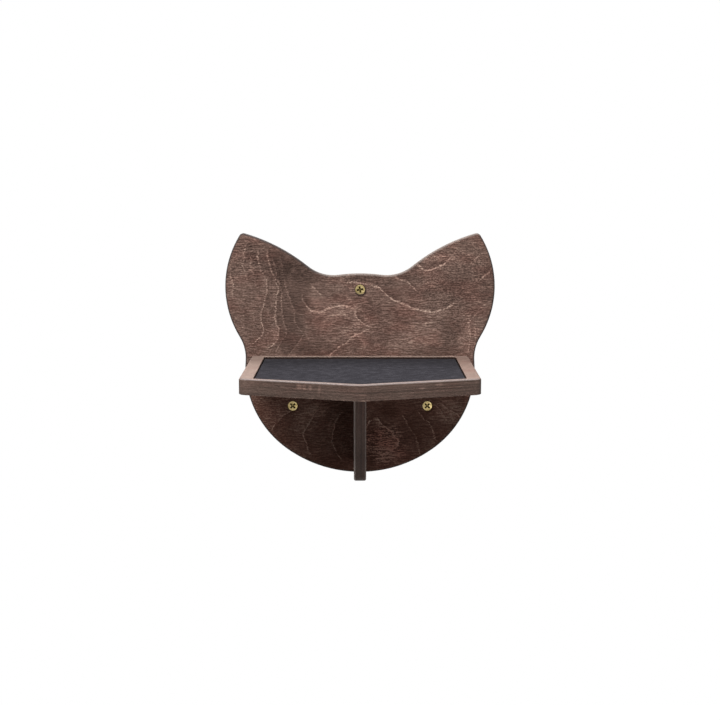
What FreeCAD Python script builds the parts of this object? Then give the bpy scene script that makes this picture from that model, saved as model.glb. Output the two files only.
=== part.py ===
import FreeCAD, Part
import os
import Sketcher

# A cat wall step: a plywood backboard cut to the outline of a cat's head, a plywood shelf with a felt pad
# set in a shallow recess, and one plywood bracket under the shelf. Three countersunk screws hold it to the wall.
# +X is to the right, the front faces -Y and +Z is up. The origin is on the wall plane, at the centre of the
# circle through the three wall screws.

SIZES = {
    # backboard: a cat's head drawn with tangent arcs, heights counted from the origin
    "board_thickness": 12.0,
    "board_front_round": 2.5,
    "board_back_round": 0.8,
    "head_half_width": 119.0,
    "cheek_offset": 15.0,
    "chin_angle": 36.0,
    "chin_depth": 110.9,
    "crown_height": 96.8,
    "crown_radius": 165.0,
    "notch_offset": 27.5,
    "notch_radius": 42.0,
    "ear_half_width": 138.7,
    "ear_inner_radius": 184.0,
    "ear_outer_radius": 100.0,
    "ear_tip_inset": 18.7,
    "ear_tip_height": 134.2,
    "ear_tip_radius": 4.0,
    "waist_radius": 42.0,
    # shelf: straight sides and a front that comes to a shallow point
    "shelf_top_height": 12.1,
    "shelf_thickness": 15.0,
    "shelf_width": 224.0,
    "shelf_side_depth": 158.4,
    "shelf_centre_depth": 197.4,
    "shelf_corner_radius": 10.0,
    "shelf_nose_radius": 24.0,
    "shelf_top_round": 2.0,
    "shelf_under_round": 0.4,
    # recess in the shelf, and the felt pad glued into it
    "recess_depth": 5.0,
    "recess_side_lip": 13.5,
    "recess_front_lip": 6.0,
    "recess_back_lip": 6.0,
    "recess_corner_radius": 3.0,
    "recess_nose_radius": 12.0,
    "recess_edge_round": 0.6,
    "pad_thickness": 3.0,
    "pad_clearance": 0.3,
    # bracket under the shelf, its foot a little above the backboard's chin
    "bracket_thickness": 12.0,
    "bracket_foot_rise": 11.9,
    "bracket_top_depth": 122.0,
    "bracket_bottom_depth": 98.0,
    "bracket_corner_radius": 10.0,
    "bracket_edge_round": 2.0,
    # wall screws, 5 x 60
    "wall_circle_diameter": 161.6,
    "wall_screw_thread": 5.0,
    "wall_screw_neck": 3.6,
    "wall_screw_head": 10.0,
    "wall_screw_length": 60.0,
    "wall_screw_point": 8.0,
    "wall_screw_drive_span": 5.4,
    "wall_screw_drive_width": 1.4,
    "wall_screw_drive_depth": 1.8,
    # joint screws, 4 x 40 from behind and 4 x 35 down through the shelf
    "joint_screw_thread": 4.0,
    "joint_screw_neck": 2.9,
    "joint_screw_head": 8.0,
    "joint_screw_point": 6.0,
    "joint_screw_drive_span": 4.4,
    "joint_screw_drive_width": 1.2,
    "joint_screw_drive_depth": 1.4,
    "back_screw_length": 40.0,
    "deck_screw_length": 35.0,
    # where the joint screws and dowels go
    "shelf_screw_offset": 45.0,
    "bracket_screw_upper_inset": 22.0,
    "bracket_screw_lower_inset": 22.0,
    "deck_screw_rear_inset": 50.0,
    "deck_screw_front_inset": 27.0,
    "dowel_diameter": 6.0,
    "dowel_length": 30.0,
    "dowel_board_length": 8.0,
    "dowel_chamfer": 0.8,
    "dowel_inset": 27.0,
    # fits shared by all screws and dowels
    "head_rim": 0.3,
    "head_sink": 0.2,
    "seat_clearance": 0.1,
    "neck_clearance": 0.25,
    "thread_clearance": 0.1,
    "dowel_clearance": 0.1,
    "end_clearance": 0.5,
}

# a countersunk head and its seat both slope at 45 degrees
COUNTERSINK_ANGLE = 90
# the cross recess of a screw is one slot repeated a quarter turn on
DRIVE_SLOTS = 2
QUARTER_TURN = 90
# how far each wall screw was turned when it came home
TOP_SCREW_TURN = 10
LOWER_SCREW_TURN = 45

NEAR = 1e-4
# how a sketch numbers its axes, and the points of one of its edges; its origin is the start of the level axis
H_AXIS, V_AXIS = range(-1, -3, -1)
START, END, CENTRE = range(1, 4)

doc = FreeCAD.newDocument("cat_wall_step")
sheet = doc.addObject("Spreadsheet::Sheet", "Sizes")
for row, (alias, number) in enumerate(SIZES.items(), start=1):
    sheet.set(f"A{row}", str(number))
    sheet.setAlias(f"A{row}", alias)
doc.recompute()


# Helpers for bodies, sketches and features

def value(expression):
    """The number that an expression on the sheet gives."""
    return float(sheet.evalExpression(expression))


def new_body(label):
    body = doc.addObject("PartDesign::Body", label)
    body.Label = label
    return body


def new_sketch(body, name, role, height=None):
    """A sketch on one of the body's own origin planes, raised along the plane's normal."""
    sketch = body.newObject("Sketcher::SketchObject", f"{body.Label}_{name}")
    plane = next(f for f in body.Origin.OriginFeatures if f.Role == role)
    sketch.AttachmentSupport = [(plane, "")]
    sketch.MapMode = "FlatFace"
    if height:
        sketch.setExpression("AttachmentOffset.Base.z", height)
    return sketch


def measure(sketch, constraint, expression):
    """Adds a dimension to a sketch and ties it to the sheet."""
    index = sketch.addConstraint(constraint)
    sketch.setExpression(f"Constraints[{index}]", expression)


def pin_along(sketch, kind, geometry, point, place):
    """Holds one coordinate of a sketch point; a place of 0 puts the point on the axis itself."""
    if place == "0":
        axis = V_AXIS if kind == "DistanceX" else H_AXIS
        sketch.addConstraint(Sketcher.Constraint("PointOnObject", geometry, point, axis))
        return
    held = Sketcher.Constraint(kind, H_AXIS, START, geometry, point, value(place))
    measure(sketch, held, place)


def pin(sketch, geometry, point, x, y):
    pin_along(sketch, "DistanceX", geometry, point, x)
    pin_along(sketch, "DistanceY", geometry, point, y)


def draw_ring(sketch, corners):
    """A closed outline of straight edges, each corner a pair of expressions."""
    places = [FreeCAD.Vector(value(x), value(y), 0) for x, y in corners]
    count = len(places)
    for i in range(count):
        sketch.addGeometry(Part.LineSegment(places[i], places[(i + 1) % count]))
    for i in range(count):
        sketch.addConstraint(Sketcher.Constraint("Coincident", i, END, (i + 1) % count, START))
        pin(sketch, i, START, *corners[i])


def draw_circles(sketch, centres, diameter):
    for i, (x, y) in enumerate(centres):
        middle = FreeCAD.Vector(value(x), value(y), 0)
        sketch.addGeometry(Part.Circle(middle, FreeCAD.Vector(0, 0, 1), value(diameter) / 2))
        measure(sketch, Sketcher.Constraint("Diameter", i, value(diameter)), diameter)
        pin(sketch, i, CENTRE, x, y)


def pad_up(body, sketch, length, symmetric=False):
    pad = body.newObject("PartDesign::Pad", f"{body.Label}_pad")
    pad.Profile = sketch
    pad.setExpression("Length", length)
    if symmetric:
        pad.SideType = "Symmetric"
    doc.recompute()
    return pad


def expect_cut(feature, volume_before):
    doc.recompute()
    if feature.Shape.Volume > volume_before - NEAR:
        raise RuntimeError(f"{feature.Label} cuts nothing")


def pocket(body, name, sketch, depth, reverse=False):
    """Cuts a sketch's outline to a depth, against the sketch's normal unless reversed."""
    before = body.Shape.Volume
    cut = body.newObject("PartDesign::Pocket", f"{body.Label}_{name}")
    cut.Profile = sketch
    cut.setExpression("Length", depth)
    cut.Reversed = reverse
    expect_cut(cut, before)
    return cut


def drill_countersunk(body, name, sketch, diameter, rim_diameter, reverse=False):
    """Drills right through at each circle of a sketch and countersinks the side of the sketch."""
    before = body.Shape.Volume
    hole = body.newObject("PartDesign::Hole", f"{body.Label}_{name}")
    hole.Profile = sketch
    doc.recompute()
    hole.DepthType = "ThroughAll"
    hole.Reversed = reverse
    hole.HoleCutType = "Countersink"
    hole.HoleCutCustomValues = True
    hole.HoleCutCountersinkAngle = COUNTERSINK_ANGLE
    hole.setExpression("Diameter", diameter)
    hole.setExpression("HoleCutDiameter", rim_diameter)
    expect_cut(hole, before)


def round_edges(body, name, radius, wanted):
    """Rounds the edges of the body so far that the test picks."""
    base = body.Tip
    picked = [f"Edge{i}" for i, edge in enumerate(base.Shape.Edges, start=1) if wanted(edge)]
    fillet = body.newObject("PartDesign::Fillet", f"{body.Label}_{name}")
    fillet.Base = (base, picked)
    fillet.setExpression("Radius", radius)
    doc.recompute()


def lies_at(edge, axis, place):
    """Whether an edge lies in the plane where X, Y or Z has this value."""
    low = getattr(edge.BoundBox, f"{axis}Min")
    high = getattr(edge.BoundBox, f"{axis}Max")
    return abs(low - place) < NEAR and abs(high - place) < NEAR


def lies_on_line(edge, *places):
    """Whether an edge lies along the line where two of X, Y and Z have these values."""
    return all(lies_at(edge, axis, place) for axis, place in places)


# Heights and depths that several pieces share

BOARD = "Sizes.board_thickness"
SHELF_UNDERSIDE = "(Sizes.shelf_top_height - Sizes.shelf_thickness)"
RECESS_FLOOR = "(Sizes.shelf_top_height - Sizes.recess_depth)"
FLOOR_THICKNESS = "(Sizes.shelf_thickness - Sizes.recess_depth)"
FLOOR_MIDDLE = f"({SHELF_UNDERSIDE} + {FLOOR_THICKNESS} / 2)"
BRACKET_FOOT = "(Sizes.bracket_foot_rise - Sizes.chin_depth)"
BACK_SCREW_REACH = f"Sizes.back_screw_length + Sizes.head_sink - {BOARD} + Sizes.end_clearance"
DECK_SCREW_REACH = f"Sizes.deck_screw_length + Sizes.head_sink - {FLOOR_THICKNESS} + Sizes.end_clearance"
DOWEL_SHELF_LENGTH = "(Sizes.dowel_length - Sizes.dowel_board_length)"
PILOT_DIAMETER = "Sizes.joint_screw_thread + 2 * Sizes.thread_clearance"
DOWEL_HOLE = "Sizes.dowel_diameter + 2 * Sizes.dowel_clearance"

WALL_RADIUS = "Sizes.wall_circle_diameter / 2"
WALL_SCREWS = {
    "wall_screw_top": ("0", WALL_RADIUS, TOP_SCREW_TURN),
    "wall_screw_left": (f"-{WALL_RADIUS} * cos(30 deg)", f"-{WALL_RADIUS} / 2", LOWER_SCREW_TURN),
    "wall_screw_right": (f"{WALL_RADIUS} * cos(30 deg)", f"-{WALL_RADIUS} / 2", LOWER_SCREW_TURN),
}
SHELF_SCREWS = {
    "shelf_screw_left": ("-Sizes.shelf_screw_offset", FLOOR_MIDDLE),
    "shelf_screw_right": ("Sizes.shelf_screw_offset", FLOOR_MIDDLE),
}
BRACKET_SCREWS = {
    "bracket_screw_upper": ("0", f"{SHELF_UNDERSIDE} - Sizes.bracket_screw_upper_inset"),
    "bracket_screw_lower": ("0", f"{BRACKET_FOOT} + Sizes.bracket_screw_lower_inset"),
}
DECK_SCREWS = {
    "deck_screw_rear": ("0", f"-{BOARD} - Sizes.deck_screw_rear_inset"),
    "deck_screw_front": ("0", f"-{BOARD} - Sizes.bracket_top_depth + Sizes.deck_screw_front_inset"),
}
DOWELS = {
    "shelf_dowel_left": ("-(Sizes.shelf_width / 2 - Sizes.dowel_inset)", FLOOR_MIDDLE),
    "shelf_dowel_right": ("Sizes.shelf_width / 2 - Sizes.dowel_inset", FLOOR_MIDDLE),
}


def seat_diameter(kind):
    """Width of the countersink at the surface, for a head sunk a little below it."""
    return f"Sizes.{kind}_head + 2 * (Sizes.head_sink + Sizes.head_rim + Sizes.seat_clearance)"


def passage_diameter(kind):
    """Width of the hole that the screw's thread slips through."""
    return f"Sizes.{kind}_thread + 2 * Sizes.neck_clearance"


# Backboard

def crossing(centre_a, radius_a, centre_b, radius_b):
    """Where two circles cross, to the right of the line from centre a to centre b."""
    apart = centre_b.sub(centre_a)
    span = apart.Length
    along = (radius_a**2 - radius_b**2 + span**2) / (2 * span)
    aside = (radius_a**2 - along**2) ** 0.5
    unit = apart.normalize()
    return centre_a + unit * along + FreeCAD.Vector(unit.y, -unit.x, 0) * aside


# Each arc of the right half of the head, from the chin up to the crown: whether it is hollow, its radius, and
# what places its centre. An arc with no x or no y is placed there by the arcs that it touches.
CHEEK_RADIUS = "(Sizes.head_half_width - Sizes.cheek_offset)"
CHIN_RADIUS = f"({CHEEK_RADIUS} + Sizes.cheek_offset / sin(Sizes.chin_angle * 1 deg))"
HEAD_ARCS = {
    "chin": (False, CHIN_RADIUS, "0", f"{CHIN_RADIUS} - Sizes.chin_depth"),
    "cheek": (False, CHEEK_RADIUS, "Sizes.cheek_offset", None),
    "waist": (True, "Sizes.waist_radius", None, None),
    "ear_outer": (False, "Sizes.ear_outer_radius", "Sizes.ear_half_width - Sizes.ear_outer_radius", None),
    "ear_tip": (
        False,
        "Sizes.ear_tip_radius",
        "Sizes.ear_half_width - Sizes.ear_tip_inset",
        "Sizes.ear_tip_height",
    ),
    "ear_inner": (False, "Sizes.ear_inner_radius", None, None),
    "notch": (True, "Sizes.notch_radius", "Sizes.notch_offset", None),
    "crown": (False, "Sizes.crown_radius", "0", "Sizes.crown_height - Sizes.crown_radius"),
}


def head_centres():
    """The centre of each arc of the right half, from the sizes and from the arcs that it touches."""
    radius = {name: value(arc[1]) for name, arc in HEAD_ARCS.items()}
    x = {name: value(arc[2]) for name, arc in HEAD_ARCS.items() if arc[2]}
    y = {name: value(arc[3]) for name, arc in HEAD_ARCS.items() if arc[3]}
    cheek_reach = radius["chin"] - radius["cheek"]
    y["cheek"] = y["chin"] - (cheek_reach**2 - x["cheek"] ** 2) ** 0.5
    outer_reach = radius["ear_outer"] - radius["ear_tip"]
    y["ear_outer"] = y["ear_tip"] - (outer_reach**2 - (x["ear_tip"] - x["ear_outer"]) ** 2) ** 0.5
    notch_reach = radius["crown"] + radius["notch"]
    y["notch"] = y["crown"] + (notch_reach**2 - x["notch"] ** 2) ** 0.5
    centre = {name: FreeCAD.Vector(x[name], y[name], 0) for name in x}
    centre["waist"] = crossing(
        centre["cheek"],
        radius["cheek"] + radius["waist"],
        centre["ear_outer"],
        radius["ear_outer"] + radius["waist"],
    )
    centre["ear_inner"] = crossing(
        centre["notch"],
        radius["notch"] + radius["ear_inner"],
        centre["ear_tip"],
        radius["ear_inner"] - radius["ear_tip"],
    )
    return centre, radius


def touch_point(first, second):
    """The point where two touching circles meet, each given as hollow, centre and radius."""
    hollow_a, centre_a, radius_a = first
    hollow_b, centre_b, radius_b = second
    towards = centre_b.sub(centre_a).normalize()
    if hollow_a == hollow_b and radius_a < radius_b:
        towards = -towards
    return centre_a + towards * radius_a


def draw_head(sketch):
    """The cat's head, anticlockwise from the chin: right half up to the crown, then its mirror image."""
    centre, radius = head_centres()
    right = list(HEAD_ARCS)[1:-1]
    ring = [("chin", 1)] + [(name, 1) for name in right] + [("crown", 1)]
    ring += [(name, -1) for name in reversed(right)]
    circles = []
    for name, side in ring:
        middle = FreeCAD.Vector(side * centre[name].x, centre[name].y, 0)
        circles.append((HEAD_ARCS[name][0], middle, radius[name]))
    joints = [touch_point(circles[i - 1], circles[i]) for i in range(len(circles))]
    ends = []
    for i, (hollow, middle, size) in enumerate(circles):
        first = joints[i]
        last = joints[(i + 1) % len(circles)]
        if hollow:
            first, last = last, first
        ends.append((END, START) if hollow else (START, END))
        circle = Part.Circle(middle, FreeCAD.Vector(0, 0, 1), size)
        sketch.addGeometry(Part.ArcOfCircle(circle, circle.parameter(first), circle.parameter(last)))
    for i in range(len(circles)):
        after = (i + 1) % len(circles)
        sketch.addConstraint(Sketcher.Constraint("Tangent", i, ends[i][1], after, ends[after][0]))
    for i, (name, side) in enumerate(ring):
        hollow, size, x, y = HEAD_ARCS[name]
        measure(sketch, Sketcher.Constraint("Radius", i, value(size)), size)
        if x:
            pin_along(sketch, "DistanceX", i, CENTRE, x if side > 0 else f"-({x})")
        if y:
            pin_along(sketch, "DistanceY", i, CENTRE, y)


def make_backboard():
    """Plywood board, drilled from the front for the wall screws and from behind for the joint screws."""
    body = new_body("backboard")
    head = new_sketch(body, "head", "XZ_Plane")
    draw_head(head)
    pad_up(body, head, BOARD)
    front = -value(BOARD)
    round_edges(body, "front_round", "Sizes.board_front_round", lambda e: lies_at(e, "Y", front))
    round_edges(body, "back_round", "Sizes.board_back_round", lambda e: lies_at(e, "Y", 0))
    wall_holes = new_sketch(body, "wall_holes", "XZ_Plane", BOARD)
    wall_places = [(x, z) for x, z, turn in WALL_SCREWS.values()]
    draw_circles(wall_holes, wall_places, passage_diameter("wall_screw"))
    drill_countersunk(
        body, "wall_drilling", wall_holes, passage_diameter("wall_screw"), seat_diameter("wall_screw")
    )
    joint_holes = new_sketch(body, "joint_holes", "XZ_Plane")
    joint_places = list(SHELF_SCREWS.values()) + list(BRACKET_SCREWS.values())
    draw_circles(joint_holes, joint_places, passage_diameter("joint_screw"))
    drill_countersunk(
        body,
        "joint_drilling",
        joint_holes,
        passage_diameter("joint_screw"),
        seat_diameter("joint_screw"),
        reverse=True,
    )
    dowel_holes = new_sketch(body, "dowel_holes", "XZ_Plane", BOARD)
    draw_circles(dowel_holes, DOWELS.values(), DOWEL_HOLE)
    pocket(body, "dowel_drilling", dowel_holes, "Sizes.dowel_board_length + Sizes.end_clearance")
    return body


# Shelf and felt pad

HALF_WIDTH = "Sizes.shelf_width / 2"
FRONT_SLOPE = f"((Sizes.shelf_centre_depth - Sizes.shelf_side_depth) / ({HALF_WIDTH}))"


def shelf_ring(half_width, back, front):
    """Corners of a shelf-like outline: half width, distance of its back from the board, and of its point."""
    side = f"{front} - ({half_width}) * {FRONT_SLOPE}"
    return [
        (f"-({half_width})", f"-{BOARD} - ({back})"),
        (f"-({half_width})", f"-{BOARD} - ({side})"),
        ("0", f"-{BOARD} - ({front})"),
        (half_width, f"-{BOARD} - ({side})"),
        (half_width, f"-{BOARD} - ({back})"),
    ]


def recess_ring(clearance):
    """Outline of the recess, or of what lies in it with a clearance all round."""
    lip = f"(Sizes.recess_front_lip + {clearance})"
    return shelf_ring(
        f"{HALF_WIDTH} - Sizes.recess_side_lip - {clearance}",
        f"Sizes.recess_back_lip + {clearance}",
        f"(Sizes.shelf_centre_depth - {lip} * sqrt(1 + {FRONT_SLOPE} ^ 2))",
    )


SHELF_RING = shelf_ring(HALF_WIDTH, "0", "Sizes.shelf_centre_depth")
RECESS_RING = recess_ring("0")
PAD_RING = recess_ring("Sizes.pad_clearance")


def at_corner(edge, corner):
    """Whether an upright edge stands at a corner of an outline."""
    x, y = corner
    return lies_on_line(edge, ("X", value(x)), ("Y", value(y)))


def round_upright(body, name, radius, ring, picks):
    corners = [ring[i] for i in picks]
    round_edges(body, name, radius, lambda e: any(at_corner(e, corner) for corner in corners))


def inside_box(edge, ring):
    """Whether an edge lies within the box round an outline, seen from above."""
    xs = [value(x) for x, y in ring]
    ys = [value(y) for x, y in ring]
    box = edge.BoundBox
    across = min(xs) - NEAR < box.XMin and box.XMax < max(xs) + NEAR
    along = min(ys) - NEAR < box.YMin and box.YMax < max(ys) + NEAR
    return across and along


def make_shelf():
    """Plywood shelf with rounded edges and a milled recess, drilled in its back edge and down through it."""
    body = new_body("shelf")
    plan = new_sketch(body, "plan", "XY_Plane", SHELF_UNDERSIDE)
    draw_ring(plan, SHELF_RING)
    pad_up(body, plan, "Sizes.shelf_thickness")
    back = -value(BOARD)
    top = value("Sizes.shelf_top_height")
    underside = value(SHELF_UNDERSIDE)
    round_upright(body, "corner_round", "Sizes.shelf_corner_radius", SHELF_RING, (1, 3))
    round_upright(body, "nose_round", "Sizes.shelf_nose_radius", SHELF_RING, (2,))

    def on_rim(edge, level):
        return lies_at(edge, "Z", level) and not lies_at(edge, "Y", back)

    round_edges(body, "top_round", "Sizes.shelf_top_round", lambda e: on_rim(e, top))
    round_edges(body, "under_round", "Sizes.shelf_under_round", lambda e: on_rim(e, underside))
    recess = new_sketch(body, "recess_plan", "XY_Plane", "Sizes.shelf_top_height")
    draw_ring(recess, RECESS_RING)
    pocket(body, "recess", recess, "Sizes.recess_depth")
    round_upright(body, "recess_corners", "Sizes.recess_corner_radius", RECESS_RING, (0, 1, 3, 4))
    round_upright(body, "recess_nose", "Sizes.recess_nose_radius", RECESS_RING, (2,))
    round_edges(
        body,
        "recess_edge",
        "Sizes.recess_edge_round",
        lambda e: lies_at(e, "Z", top) and inside_box(e, RECESS_RING),
    )
    pilot_holes = new_sketch(body, "pilot_holes", "XZ_Plane", BOARD)
    draw_circles(pilot_holes, SHELF_SCREWS.values(), PILOT_DIAMETER)
    pocket(body, "pilot_drilling", pilot_holes, BACK_SCREW_REACH, reverse=True)
    dowel_holes = new_sketch(body, "dowel_holes", "XZ_Plane", BOARD)
    draw_circles(dowel_holes, DOWELS.values(), DOWEL_HOLE)
    pocket(body, "dowel_drilling", dowel_holes, f"{DOWEL_SHELF_LENGTH} + Sizes.end_clearance", reverse=True)
    deck_holes = new_sketch(body, "deck_holes", "XY_Plane", RECESS_FLOOR)
    draw_circles(deck_holes, DECK_SCREWS.values(), passage_diameter("joint_screw"))
    drill_countersunk(
        body, "deck_drilling", deck_holes, passage_diameter("joint_screw"), seat_diameter("joint_screw")
    )
    return body


def make_felt_pad():
    """Felt pad that lies in the recess, a little below the shelf's top."""
    body = new_body("felt_pad")
    plan = new_sketch(body, "plan", "XY_Plane", RECESS_FLOOR)
    draw_ring(plan, PAD_RING)
    pad_up(body, plan, "Sizes.pad_thickness")
    round_upright(body, "corner_round", "Sizes.recess_corner_radius", PAD_RING, (0, 1, 3, 4))
    round_upright(body, "nose_round", "Sizes.recess_nose_radius", PAD_RING, (2,))
    return body


# Bracket

def make_bracket():
    """Upright plywood web on the centre line, screwed to the backboard and to the shelf."""
    body = new_body("support_bracket")
    side = new_sketch(body, "side", "YZ_Plane")
    foot_front = f"-{BOARD} - Sizes.bracket_bottom_depth"
    draw_ring(
        side,
        [
            (f"-{BOARD}", SHELF_UNDERSIDE),
            (f"-{BOARD}", BRACKET_FOOT),
            (foot_front, BRACKET_FOOT),
            (f"-{BOARD} - Sizes.bracket_top_depth", SHELF_UNDERSIDE),
        ],
    )
    pad_up(body, side, "Sizes.bracket_thickness", symmetric=True)
    back = -value(BOARD)
    top = value(SHELF_UNDERSIDE)
    foot = value(BRACKET_FOOT)
    cheek = value("Sizes.bracket_thickness / 2")
    round_edges(
        body,
        "corner_round",
        "Sizes.bracket_corner_radius",
        lambda e: lies_on_line(e, ("Y", value(foot_front)), ("Z", foot)),
    )

    def on_free_edge(edge):
        on_cheek = lies_at(edge, "X", cheek) or lies_at(edge, "X", -cheek)
        return on_cheek and not lies_at(edge, "Y", back) and not lies_at(edge, "Z", top)

    round_edges(body, "edge_round", "Sizes.bracket_edge_round", on_free_edge)
    back_holes = new_sketch(body, "back_holes", "XZ_Plane", BOARD)
    draw_circles(back_holes, BRACKET_SCREWS.values(), PILOT_DIAMETER)
    pocket(body, "back_drilling", back_holes, BACK_SCREW_REACH, reverse=True)
    top_holes = new_sketch(body, "top_holes", "XY_Plane", SHELF_UNDERSIDE)
    draw_circles(top_holes, DECK_SCREWS.values(), PILOT_DIAMETER)
    pocket(body, "top_drilling", top_holes, DECK_SCREW_REACH)
    return body


# Screws and dowels

FACING_FRONT = FreeCAD.Rotation(FreeCAD.Vector(1, 0, 0), QUARTER_TURN)
FACING_BACK = FreeCAD.Rotation(FreeCAD.Vector(1, 0, 0), -QUARTER_TURN)
FACING_UP = FreeCAD.Rotation()


def place_body(body, x, y, z, turn):
    """Puts a body made along its own Z axis where it belongs."""
    body.Placement = FreeCAD.Placement(FreeCAD.Vector(value(x), value(y), value(z)), turn)
    body.setExpression("Placement.Base.x", x)
    body.setExpression("Placement.Base.y", y)
    body.setExpression("Placement.Base.z", z)


def make_screw(label, kind, length, neck_length):
    """Countersunk wood screw, its head's face at its own origin and its point down its own -Z."""
    body = new_body(label)
    head = f"Sizes.{kind}_head / 2"
    neck = f"Sizes.{kind}_neck / 2"
    thread = f"Sizes.{kind}_thread / 2"
    section = new_sketch(body, "section", "XZ_Plane")
    draw_ring(
        section,
        [
            ("0", "0"),
            (head, "0"),
            (head, "-Sizes.head_rim"),
            (neck, f"-(Sizes.head_rim + {head} - {neck})"),
            (neck, f"-({neck_length})"),
            (thread, f"-({neck_length})"),
            (thread, f"-({length} - Sizes.{kind}_point)"),
            ("0", f"-{length}"),
        ],
    )
    turned = body.newObject("PartDesign::Revolution", f"{label}_turned")
    turned.Profile = section
    turned.ReferenceAxis = (section, ["V_Axis"])
    doc.recompute()
    span = f"Sizes.{kind}_drive_span / 2"
    width = f"Sizes.{kind}_drive_width / 2"
    slot = new_sketch(body, "slot", "XY_Plane")
    draw_ring(
        slot,
        [(f"-{span}", f"-{width}"), (span, f"-{width}"), (span, width), (f"-{span}", width)],
    )
    cut = pocket(body, "drive_slot", slot, f"Sizes.{kind}_drive_depth")
    cross = body.newObject("PartDesign::PolarPattern", f"{label}_drive_cross")
    cross.Originals = [cut]
    cross.Axis = (slot, ["N_Axis"])
    cross.Angle = QUARTER_TURN
    cross.Occurrences = DRIVE_SLOTS
    body.Tip = cross
    doc.recompute()
    return body


def make_screws():
    screws = []
    neck_in_board = f"{BOARD} - Sizes.head_sink"
    for label, (x, z, turn) in WALL_SCREWS.items():
        screw = make_screw(label, "wall_screw", "Sizes.wall_screw_length", neck_in_board)
        spun = FACING_FRONT * FreeCAD.Rotation(FreeCAD.Vector(0, 0, 1), turn)
        place_body(screw, x, f"-{BOARD} + Sizes.head_sink", z, spun)
        screws.append(screw)
    for label, (x, z) in {**SHELF_SCREWS, **BRACKET_SCREWS}.items():
        screw = make_screw(label, "joint_screw", "Sizes.back_screw_length", neck_in_board)
        place_body(screw, x, "-Sizes.head_sink", z, FACING_BACK)
        screws.append(screw)
    for label, (x, y) in DECK_SCREWS.items():
        neck = f"{FLOOR_THICKNESS} - Sizes.head_sink"
        screw = make_screw(label, "joint_screw", "Sizes.deck_screw_length", neck)
        place_body(screw, x, y, f"{RECESS_FLOOR} - Sizes.head_sink", FACING_UP)
        screws.append(screw)
    return screws


def make_dowels():
    """Beech dowels glued half into the backboard and half into the shelf's back edge."""
    dowels = []
    for label, (x, z) in DOWELS.items():
        body = new_body(label)
        section = new_sketch(body, "section", "XY_Plane")
        draw_circles(section, [("0", "0")], "Sizes.dowel_diameter")
        pad = pad_up(body, section, "Sizes.dowel_length")
        rims = [f"Edge{i}" for i, e in enumerate(pad.Shape.Edges, start=1) if len(e.Vertexes) == 1]
        chamfer = body.newObject("PartDesign::Chamfer", f"{label}_chamfer")
        chamfer.Base = (pad, rims)
        chamfer.setExpression("Size", "Sizes.dowel_chamfer")
        doc.recompute()
        place_body(body, x, f"-{BOARD} + Sizes.dowel_board_length", z, FACING_FRONT)
        dowels.append(body)
    return dowels


# Build, check and write

bodies = [make_backboard(), make_shelf(), make_felt_pad(), make_bracket()]
bodies += make_screws()
bodies += make_dowels()
doc.recompute()

for thing in doc.Objects:
    if "Invalid" in thing.State or "Error" in thing.State:
        raise RuntimeError(f"{thing.Label} failed: {thing.State}")
for body in bodies:
    if body.Shape.isNull() or not body.Shape.isValid():
        raise RuntimeError(f"{body.Label} has no valid shape")
    if len(body.Shape.Solids) != 1:
        raise RuntimeError(f"{body.Label} is not one solid")

os.makedirs("parts", exist_ok=True)
for body in bodies:
    body.Shape.exportStep(f"parts/{body.Label}.step")
    box = body.Shape.BoundBox
    reach = f"X {box.XMin:.1f} {box.XMax:.1f}  Y {box.YMin:.1f} {box.YMax:.1f}  Z {box.ZMin:.1f} {box.ZMax:.1f}"
    print(f"{body.Label:22s} {body.Shape.Volume:10.1f} mm3  {reach}")
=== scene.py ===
import math
import bmesh
import bpy
from mathutils import Matrix, Vector, noise


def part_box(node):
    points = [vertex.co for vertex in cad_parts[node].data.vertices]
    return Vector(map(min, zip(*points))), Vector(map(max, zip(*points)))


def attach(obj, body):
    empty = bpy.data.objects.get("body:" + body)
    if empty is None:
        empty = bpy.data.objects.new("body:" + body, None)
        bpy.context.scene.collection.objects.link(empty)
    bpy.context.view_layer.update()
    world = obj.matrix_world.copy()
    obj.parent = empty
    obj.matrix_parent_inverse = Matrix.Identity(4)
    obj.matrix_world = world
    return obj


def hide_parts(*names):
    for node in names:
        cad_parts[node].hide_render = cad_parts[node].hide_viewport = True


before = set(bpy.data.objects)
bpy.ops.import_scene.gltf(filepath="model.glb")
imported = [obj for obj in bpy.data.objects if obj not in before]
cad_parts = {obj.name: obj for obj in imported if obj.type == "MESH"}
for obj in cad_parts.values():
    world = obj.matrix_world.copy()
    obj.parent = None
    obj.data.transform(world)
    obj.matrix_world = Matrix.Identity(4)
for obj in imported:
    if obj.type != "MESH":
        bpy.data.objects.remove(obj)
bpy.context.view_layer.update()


# Backboard
# A birch plywood board cut to the outline of a cat's head, its front edge rounded over, then stained dark brown.
# The face veneer shows short level pores, pale growth lines, and clouds where the wood drank more stain, but for
# one dark cloud low down that is painted shade.

MM = 0.001


def tint(red, green, blue):
    """A colour given as a painter mixes it on screen, 0 to 255, turned into light."""
    shares = [channel / 255 for channel in (red, green, blue)]
    return [s / 12.92 if s <= 0.04045 else ((s + 0.055) / 1.055) ** 2.4 for s in shares] + [1.0]


def add_node(tree, kind, inputs=None, **settings):
    """Adds a node; an input that is a socket is linked, and any other is set."""
    node = tree.nodes.new(kind)
    for name, setting in settings.items():
        setattr(node, name, setting)
    for name, given in (inputs or {}).items():
        if isinstance(given, bpy.types.NodeSocket):
            tree.links.new(given, node.inputs[name])
        else:
            node.inputs[name].default_value = given
    return node


def calc(tree, operation, first, second=0.0, third=0.0):
    inputs = {0: first, 1: second, 2: third}
    return add_node(tree, "ShaderNodeMath", inputs, operation=operation).outputs[0]


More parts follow.
